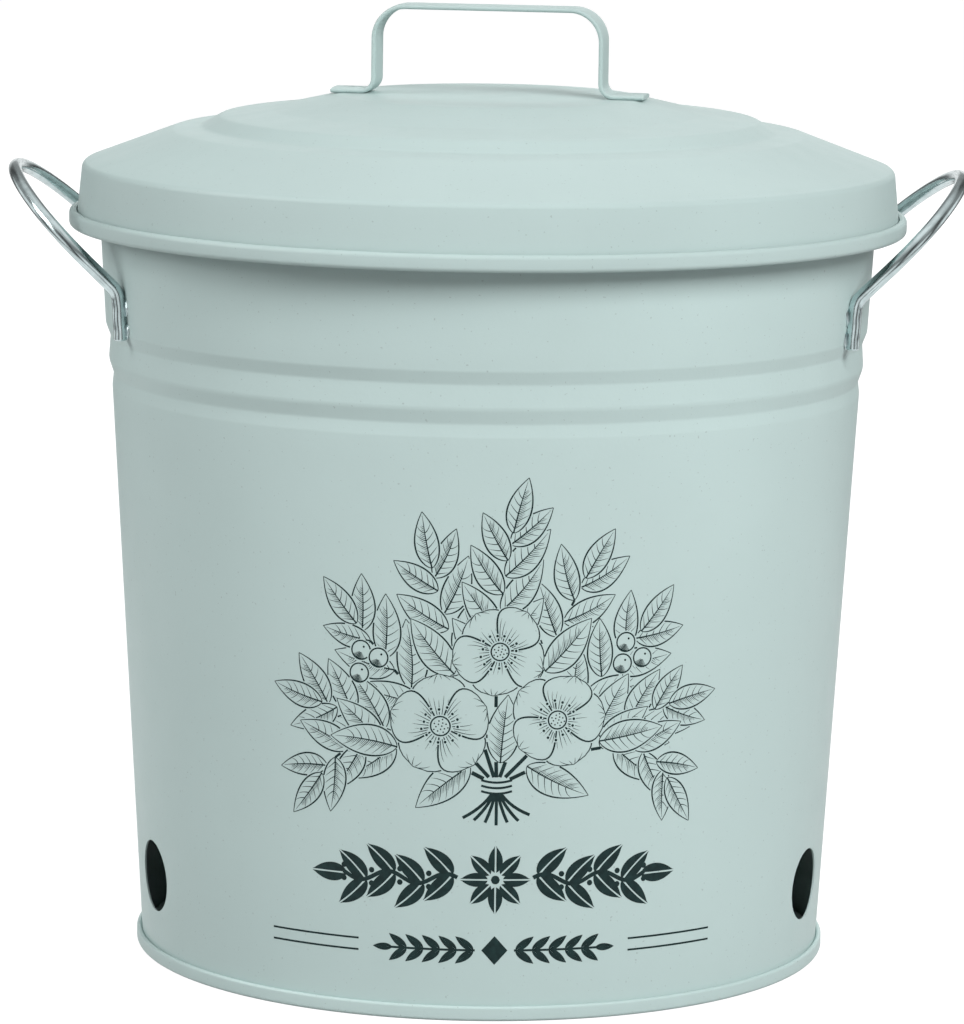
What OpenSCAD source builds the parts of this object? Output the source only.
// Round sheet-steel storage bin with a lift-off domed lid, two wire side handles
// and round air vents. The origin is on the floor at the middle of the bin, with
// +Z up, -Y to the front and a side handle on +X and on -X.

/* [Bin] */
// Thickness of the steel sheet
sheet_t = 0.5; // [0.3:0.1:0.8]
// Height of the bin's rolled rim above the floor
bin_h = 248.3; // [230:1:300]
// Outer diameter of the plain cone of the wall at the floor
base_d = 215; // [190:1:230]
// Outer diameter that the plain cone of the wall has at the rim
mouth_d = 243; // [236:1:256]
// Diameter of the roll that stiffens the bin's rim
rim_roll_d = 4.3; // [3.5:0.1:5]

/* [Wall Beads] */
// Height of the upper band, from its lower edge to the top of the rim
band_h = 50; // [44:1:68]
// How far the upper band stands out from the cone
band_step = 1; // [0.5:0.1:1.5]
// Height of the slope between the band and the groove below it
band_slope_h = 4; // [3:0.5:6]
// Distance between the two grooves of the stiffening bead
groove_pitch = 12.5; // [10:0.5:16]
// How far the upper groove lies inside the cone
upper_groove = 0.2; // [0.1:0.1:0.8]
// How far the lower groove lies inside the cone
lower_groove = 0.6; // [0.2:0.1:1]
// How far the rib between the grooves stands out from the cone
rib_step = 0.65; // [0.2:0.05:1.2]
// Height of the slope below the lower groove
lower_slope_h = 4; // [3:0.5:8]
// Radius of the soft bends of the rib and the lower groove
rib_bend_r = 9; // [4:0.5:10]
// Radius of the tighter bends of the upper groove and the band's edge
band_bend_r = 4.5; // [2:0.5:5]

/* [Base] */
// Height of the double seam that joins the wall and the base
seam_h = 4.6; // [4:0.1:7]
// Gap between neighbouring layers of the folded seam
seam_gap = 0.06; // [0.04:0.01:0.12]
// Radius of the two bends at the foot of the seam
seam_corner_r = 0.9; // [0.6:0.05:1]
// Height of the base panel above the floor
panel_z = 3.2; // [2.5:0.1:4]
// Inner diameter of the raised ring in the base panel
base_ring_d = 130; // [60:1:140]
// Width of the raised ring in the base panel
base_ring_w = 16; // [12:1:20]
// Height of the raised ring
base_ring_h = 1.6; // [1:0.1:3]

/* [Side Seam] */
// Width of the upright folded seam at the back of the wall
side_seam_w = 5; // [4:0.5:8]
// How far the folded seam stands out from the wall
side_seam_t = 0.7; // [0.4:0.1:1.2]
// Bare height between the base seam and the foot of the folded seam
side_seam_foot = 0.5; // [0.2:0.1:2]
// Bare height between the top of the folded seam and the rim's roll
side_seam_head = 1.5; // [1:0.1:4]

/* [Vents] */
// Diameter of each air vent
vent_d = 22.5; // [12:0.5:30]
// Height of the vents' middle above the floor
vent_z = 27.5; // [20:0.5:45]
// Angle from the front to the vents on either side
vent_angle = 69; // [60:1:75]

/* [Lid] */
// Sideways clearance between the lid's skirt and the bin's rim
lid_side_gap = 0.4; // [0.3:0.1:1]
// Clearance between the resting lid and the top of the bin's rim
lid_seat_gap = 0.32; // [0.3:0.02:0.6]
// Height of the lid's skirt, from its shoulder to the bottom of its roll
skirt_h = 19.3; // [16:0.1:26]
// How far the skirt leans out for each millimetre of height
skirt_lean = 0.1; // [0.04:0.01:0.12]
// Radius of the bend at the lid's shoulder
shoulder_r = 2; // [1.4:0.1:2.4]
// Height of the roll along the lid's lower edge
lid_roll_h = 5.2; // [4:0.1:6]
// Thickness of the roll along the lid's lower edge
lid_roll_w = 2.8; // [2.4:0.1:3.4]
// Diameter of the flat plateau in the middle of the lid
plateau_d = 94; // [84:1:100]
// Width of the cone around the plateau
crown_w = 21; // [16:0.5:24]
// Fall of the cone around the plateau
crown_drop = 4.8; // [3:0.1:8]
// Width of the upper ledge
upper_ledge_w = 16; // [12:0.5:18]
// Fall of the upper ledge
upper_ledge_drop = 2; // [1:0.1:3]
// Width of the step between the ledges
ledge_step_w = 6; // [5:0.5:8]
// Fall of the step between the ledges
ledge_step_drop = 3.5; // [2:0.1:5]
// Width of the lower ledge
lower_ledge_w = 9; // [7:0.5:12]
// Fall of the lower ledge
lower_ledge_drop = 0.8; // [0.4:0.1:2]
// Fall of the outer cone, from the lower ledge to the shoulder
outer_drop = 10.5; // [7:0.1:14]
// Radius of the bend at the plateau's edge
plateau_bend_r = 5; // [2:0.5:8]
// Radius of the bend between the crown's cone and the upper ledge
crown_bend_r = 12; // [4:1:20]
// Radius of the two bends of the step between the ledges
step_bend_r = 4; // [2:0.5:5]
// Radius of the bend between the lower ledge and the outer cone
ledge_bend_r = 6; // [3:0.5:8]

/* [Lid Handle] */
// Width of the steel strap
strap_w = 14; // [10:0.5:18]
// Thickness of the strap
strap_t = 1.6; // [1:0.1:2.5]
// Distance between the middles of the two legs
strap_span = 72; // [60:1:76]
// Length over both feet
strap_feet = 99; // [97:1:104]
// Height of the handle's top above the plateau
strap_h = 28.2; // [24:0.1:40]
// Radius of the two upper bends, at the middle of the strap
strap_bend_r = 10; // [6:0.5:12]
// Radius of the two foot bends, at the middle of the strap
foot_bend_r = 4; // [2:0.5:6]
// Diameter of the spot-weld mark in each foot
weld_d = 5; // [3:0.5:7]
// Depth of the spot-weld mark
weld_depth = 0.3; // [0.1:0.1:0.6]
// Turn of the lid and its handle about the upright axis
lid_turn = -9.5; // [-90:0.5:90]

/* [Side Handles] */
// Diameter of the handle wire
wire_d = 4.2; // [3:0.1:6]
// Distance between the middles of a handle's two legs
wire_span = 94; // [70:1:100]
// Distance from the top of the bin's rim down to the lower ends of the legs
foot_drop = 51.3; // [46:0.1:58]
// Distance from the top of the bin's rim down to the bends above the legs
bend_drop = 36.5; // [33:0.1:40]
// Lean of the loop from upright
loop_lean = 46; // [40:1:60]
// Length of the straight sides of the loop
loop_side = 12; // [6:0.5:20]
// Rise of the loop's bow above its straight sides
loop_bow = 37; // [33:0.5:42]
// Radius of the loop's corners
loop_corner_r = 31; // [20:0.5:32]
// Radius of the bend between a leg and the loop
leg_bend_r = 6; // [4:0.5:10]
// How deep the welded wire is sunk into the sheet
weld_sink = 0.25; // [0.1:0.05:0.3]
// Diameter of the weld bead around the wire
bead_d = 5.8; // [5:0.1:8]
// How far a weld bead stands out from the wall
bead_t = 1; // [0.5:0.1:1.8]
// Distance between the two weld beads of a leg
bead_pitch = 7; // [5:0.5:9]
// Height of the leg's foot below the middle of its lower weld bead
bead_foot = 2.9; // [2.5:0.1:5]

/* [Hidden] */
$fn = 128;
SHEET_COLOR = [0.73, 0.81, 0.80];
ZINC_COLOR = [0.74, 0.77, 0.78];
TURN_STEPS = 8;
FILLET_STEPS = 4;
BOW_STEPS = 8;
TUBE_SIDES = 16;

// Bends that are too slight to set: the wall's foot and the base panel
WALL_FOOT_R = 6;
PANEL_BEND_R = 1.5;
CHUCK_BEND_R = 1;
// Angles at which the two rolled edges end, counted from the outward direction
RIM_ROLL_END = -120;
LID_ROLL_END = 130;

// The cone of the wall, and its sheet's middle surface at a height
wall_slope = (mouth_d - base_d) / 2 / bin_h;
function outer_r(z, out = 0) = base_d / 2 + wall_slope * z + out;
function wall_r(z, out = 0) = outer_r(z, out) - sheet_t / 2;

// Folded seam at the floor
layer = sheet_t + seam_gap;
seam_r = wall_r(seam_h);
seam_out_r = seam_r + 3 * layer;
seam_turn_z = sheet_t / 2 + 2 * layer;
seam_top_z = seam_h - sheet_t / 2 - layer;

// Upper band, and the stiffening bead below it
band_z = bin_h - band_h;
upper_groove_z = band_z - band_slope_h;
lower_groove_z = upper_groove_z - groove_pitch;
rib_z = (upper_groove_z + lower_groove_z) / 2;
bead_bottom_z = lower_groove_z - lower_slope_h;

// Roll of the bin's rim
rim_r = (rim_roll_d - sheet_t) / 2;
rim_z = bin_h - rim_roll_d / 2;
rim_mid_r = wall_r(rim_z, band_step) + rim_r;
rim_out_r = rim_mid_r + rim_roll_d / 2;
side_seam_top_z = rim_z - rim_roll_d / 2 - side_seam_head;

// The lid's radii from its middle outwards
plateau_r = plateau_d / 2;
crown_r = plateau_r + crown_w;
upper_ledge_r = crown_r + upper_ledge_w;
step_r = upper_ledge_r + ledge_step_w;
lower_ledge_r = step_r + lower_ledge_w;
shoulder_out_r = rim_out_r + lid_side_gap + sheet_t / 2;

// The lid's heights, from the rim that carries it upwards
outer_lean = atan(outer_drop / (shoulder_out_r - lower_ledge_r));
seat = rim_roll_d / 2 + lid_seat_gap + sheet_t / 2;
shoulder_z = rim_z + seat / cos(outer_lean) - (shoulder_out_r - rim_mid_r) * tan(outer_lean);
lower_ledge_z = shoulder_z + outer_drop;
step_z = lower_ledge_z + lower_ledge_drop;
upper_ledge_z = step_z + ledge_step_drop;
crown_z = upper_ledge_z + upper_ledge_drop;
plateau_z = crown_z + crown_drop;
lid_top_z = plateau_z + sheet_t / 2;

// Roll of the lid's lower edge
roll_r = (lid_roll_w - sheet_t) / 2;
roll_low_z = shoulder_z - skirt_h + sheet_t / 2 + roll_r;
roll_high_z = roll_low_z + lid_roll_h - lid_roll_w;
skirt_low_r = shoulder_out_r + skirt_lean * (shoulder_z - roll_low_z);

// The side handles' wire, where it lies on the wall and where it leaves it
half_span = wire_span / 2;
foot_z = bin_h - foot_drop;
bend_z = bin_h - bend_drop;
function wire_r(z) = outer_r(z, band_step) + wire_d / 2 - weld_sink;
function wire_x(z) = sqrt(pow(wire_r(z), 2) - pow(half_span, 2));
loop_up = [sin(loop_lean), cos(loop_lean)];
bow_r = (pow(half_span - loop_corner_r, 2) + pow(loop_bow, 2) - pow(loop_corner_r, 2))
    / (2 * (loop_bow - loop_corner_r));
bow_angle = atan2(half_span - loop_corner_r, bow_r - loop_bow);
weld_mid_z = foot_z + bead_foot + bead_pitch / 2;

// Helpers for bent sheet: an outline is a path of points in the plane
function unit(v) = v / norm(v);
function side_of(a, b) = let (d = unit(b - a)) [-d[1], d[0]];
function miter(a, b) = (a + b) * 2 / ((a + b) * (a + b));
function side_at(p, i) =
    i == 0 ? side_of(p[0], p[1])
    : i == len(p) - 1 ? side_of(p[i - 1], p[i])
    : miter(side_of(p[i - 1], p[i]), side_of(p[i], p[i + 1]));
function shifted(p, d) = [for (i = [0 : len(p) - 1]) p[i] + d * side_at(p, i)];
function reversed(p) = [for (i = [len(p) - 1 : -1 : 0]) p[i]];
function but_first(p) = [for (i = [1 : len(p) - 1]) p[i]];
function but_last(p) = [for (i = [0 : len(p) - 2]) p[i]];
function band(p, a, b) = concat(shifted(p, a), reversed(shifted(p, b)));
function arc(c, r, from, to, steps) =
    [for (i = [0 : steps]) let (a = from + (to - from) * i / steps) c + r * [cos(a), sin(a)]];

// A corner b between a and c, rounded to radius r
function fillet(a, b, c, r) =
    let (u = unit(a - b), v = unit(c - b), half = acos(u * v) / 2, reach = r / tan(half),
        mid = b + unit(u + v) * r / sin(half), s = b + u * reach - mid, e = b + v * reach - mid,
        from = atan2(s[1], s[0]), sweep = atan2(s[0] * e[1] - s[1] * e[0], s * e))
    arc(mid, r, from, from + sweep, FILLET_STEPS);
function xy(p) = [p[0], p[1]];
// Each corner is [across, up, radius]
function rounded(p) = [for (i = [0 : len(p) - 1])
    each (i == 0 || i == len(p) - 1 || p[i][2] == 0)
        ? [xy(p[i])]
        : fillet(xy(p[i - 1]), xy(p[i]), xy(p[i + 1]), p[i][2])];

// Middle of the wall's sheet, from the hook in the base seam up to the rolled rim
wall_cone = rounded([
    [seam_r, seam_turn_z, 0],
    [seam_r, seam_h, WALL_FOOT_R],
    [wall_r(bead_bottom_z), bead_bottom_z, rib_bend_r],
    [wall_r(lower_groove_z, -lower_groove), lower_groove_z, rib_bend_r],
    [wall_r(rib_z, rib_step), rib_z, rib_bend_r],
    [wall_r(upper_groove_z, -upper_groove), upper_groove_z, band_bend_r],
    [wall_r(band_z, band_step), band_z, band_bend_r],
    [wall_r(rim_z, band_step), rim_z, 0]]);
wall_hook = concat([[seam_r + 2 * layer, seam_top_z]],
    arc([seam_r + layer, seam_turn_z], layer, 0, -180 + 180 / TURN_STEPS, TURN_STEPS - 1));
rim_roll = arc([rim_mid_r, rim_z], rim_r, 180 - atan(wall_slope), RIM_ROLL_END, 2 * TURN_STEPS);
wall_path = concat(wall_hook, but_last(wall_cone), rim_roll);

// Middle of the base's sheet, from its centre out and round the wall's hook
base_ring_r = base_ring_d / 2;
chuck_r = seam_r - layer;
base_path = concat(
    rounded([
        [0, panel_z, 0],
        [base_ring_r, panel_z, PANEL_BEND_R],
        [base_ring_r + base_ring_h, panel_z + base_ring_h, PANEL_BEND_R],
        [base_ring_r + base_ring_w - base_ring_h, panel_z + base_ring_h, PANEL_BEND_R],
        [base_ring_r + base_ring_w, panel_z, PANEL_BEND_R],
        [chuck_r, panel_z, CHUCK_BEND_R],
        [chuck_r, sheet_t / 2, seam_corner_r],
        [seam_out_r, sheet_t / 2, seam_corner_r],
        [seam_out_r, seam_turn_z, 0]]),
    arc([seam_r + 2 * layer, seam_top_z], layer, 0, 180, TURN_STEPS),
    [[seam_r + layer, seam_turn_z + layer / 2]]);

// Middle of the lid's sheet, from its centre out and down to its rolled edge
lid_path = concat(
    rounded([
        [0, plateau_z, 0],
        [plateau_r, plateau_z, plateau_bend_r],
        [crown_r, crown_z, crown_bend_r],
        [upper_ledge_r, upper_ledge_z, step_bend_r],
        [step_r, step_z, step_bend_r],
        [lower_ledge_r, lower_ledge_z, ledge_bend_r],
        [shoulder_out_r, shoulder_z, shoulder_r],
        [skirt_low_r, roll_low_z, 0]]),
    arc([skirt_low_r + roll_r, roll_low_z], roll_r, 180 + 180 / TURN_STEPS, 360, TURN_STEPS - 1),
    arc([skirt_low_r + roll_r, roll_high_z], roll_r, 0, LID_ROLL_END, TURN_STEPS));

// Middle of the strap, in the handle's own upright plane
strap_mid = strap_t / 2;
strap_path = rounded([
    [-strap_feet / 2, strap_mid, 0],
    [-strap_span / 2, strap_mid, foot_bend_r],
    [-strap_span / 2, strap_h - strap_mid, strap_bend_r],
    [strap_span / 2, strap_h - strap_mid, strap_bend_r],
    [strap_span / 2, strap_mid, foot_bend_r],
    [strap_feet / 2, strap_mid, 0]]);
weld_x = (strap_feet + strap_span) / 4 + foot_bend_r / 2;

// Middle of the right handle's wire, from one foot up and round to the other.
// The leg is drawn as [out, up], and the bow as [across, along the loop].
wire_leg = but_last(rounded([
    [wire_x(foot_z), foot_z, 0],
    [wire_x(bend_z), bend_z, leg_bend_r],
    [wire_x(bend_z) + loop_side * loop_up[0], bend_z + loop_side * loop_up[1], 0]]));
wire_bow = concat(
    arc([loop_corner_r - half_span, loop_side], loop_corner_r, 180, 90 + bow_angle, BOW_STEPS),
    but_first(but_last(
        arc([0, loop_side + loop_bow - bow_r], bow_r, 90 + bow_angle, 90 - bow_angle, BOW_STEPS))),
    arc([half_span - loop_corner_r, loop_side], loop_corner_r, 90 - bow_angle, 0, BOW_STEPS));
wire_path = concat(
    [for (p = wire_leg) [p[0], -half_span, p[1]]],
    [for (p = wire_bow) [wire_x(bend_z) + p[1] * loop_up[0], p[0], bend_z + p[1] * loop_up[1]]],
    [for (p = reversed(wire_leg)) [p[0], half_span, p[1]]]);

module sheet_of_revolution(path) {
    rotate_extrude() polygon(band(path, -sheet_t / 2, sheet_t / 2));
}

module bin_wall() {
    color(SHEET_COLOR) {
        difference() {
            sheet_of_revolution(wall_path);
            for (side = [-1, 1], angle = [vent_angle, 180 - vent_angle]) {
                rotate([0, 0, side * angle]) translate([0, -base_d / 4, vent_z])
                    rotate([90, 0, 0]) cylinder(d = vent_d, h = base_d / 2);
            }
        }
        side_seam();
    }
}

// The folded seam follows the wall's beads, on the outside at the back
module side_seam() {
    foot = seam_h + side_seam_foot;
    intersection() {
        rotate_extrude() polygon(band(wall_cone, 0, -sheet_t / 2 - side_seam_t));
        translate([-side_seam_w / 2, 0, foot])
            cube([side_seam_w, mouth_d, side_seam_top_z - foot]);
    }
}

module bin_base() {
    color(SHEET_COLOR) sheet_of_revolution(base_path);
}

module lid_cover() {
    color(SHEET_COLOR) sheet_of_revolution(lid_path);
}

module lid_handle() {
    color(SHEET_COLOR) rotate([0, 0, lid_turn]) translate([0, 0, lid_top_z]) {
        difference() {
            rotate([90, 0, 0])
                linear_extrude(height = strap_w, center = true)
                    polygon(band(strap_path, -strap_t / 2, strap_t / 2));
            for (side = [-1, 1]) {
                translate([side * weld_x, 0, strap_t - weld_depth])
                    cylinder(d = weld_d, h = strap_t);
            }
        }
    }
}

// Round tube along a path, with its rings square to the path
module tube(path, d, across) {
    last = len(path) - 1;
    rings = [for (i = [0 : last])
        let (t = unit(path[min(i + 1, last)] - path[max(i - 1, 0)]),
            u = unit(across - (across * t) * t), v = cross(t, u))
        for (k = [0 : TUBE_SIDES - 1])
            let (a = 360 * k / TUBE_SIDES) path[i] + d / 2 * (cos(a) * u + sin(a) * v)];
    walls = [for (i = [0 : last - 1], k = [0 : TUBE_SIDES - 1])
        let (n = (k + 1) % TUBE_SIDES, low = i * TUBE_SIDES, high = low + TUBE_SIDES)
        each [[low + k, high + n, low + n], [low + k, high + k, high + n]]];
    foot = [for (k = [0 : TUBE_SIDES - 1]) k];
    head = [for (k = [TUBE_SIDES - 1 : -1 : 0]) last * TUBE_SIDES + k];
    polyhedron(points = rings, faces = concat([foot], walls, [head]));
}

// Weld beads lie against the wall, square to it
module weld_beads(side) {
    for (step = [-0.5, 0.5]) {
        z = weld_mid_z + step * bead_pitch;
        rotate([0, 0, side * atan2(half_span, wire_x(z))])
            translate([outer_r(z, band_step) - weld_sink, 0, z]) rotate([0, 90, 0])
                cylinder(d = bead_d, h = weld_sink + bead_t);
    }
}

module side_handle() {
    tube(wire_path, wire_d, [loop_up[1], 0, -loop_up[0]]);
    for (side = [-1, 1]) {
        weld_beads(side);
    }
}

module side_handle_left() {
    color(ZINC_COLOR) mirror([1, 0, 0]) side_handle();
}

module side_handle_right() {
    color(ZINC_COLOR) side_handle();
}

bin_wall();
bin_base();
lid_cover();
lid_handle();
side_handle_left();
side_handle_right();
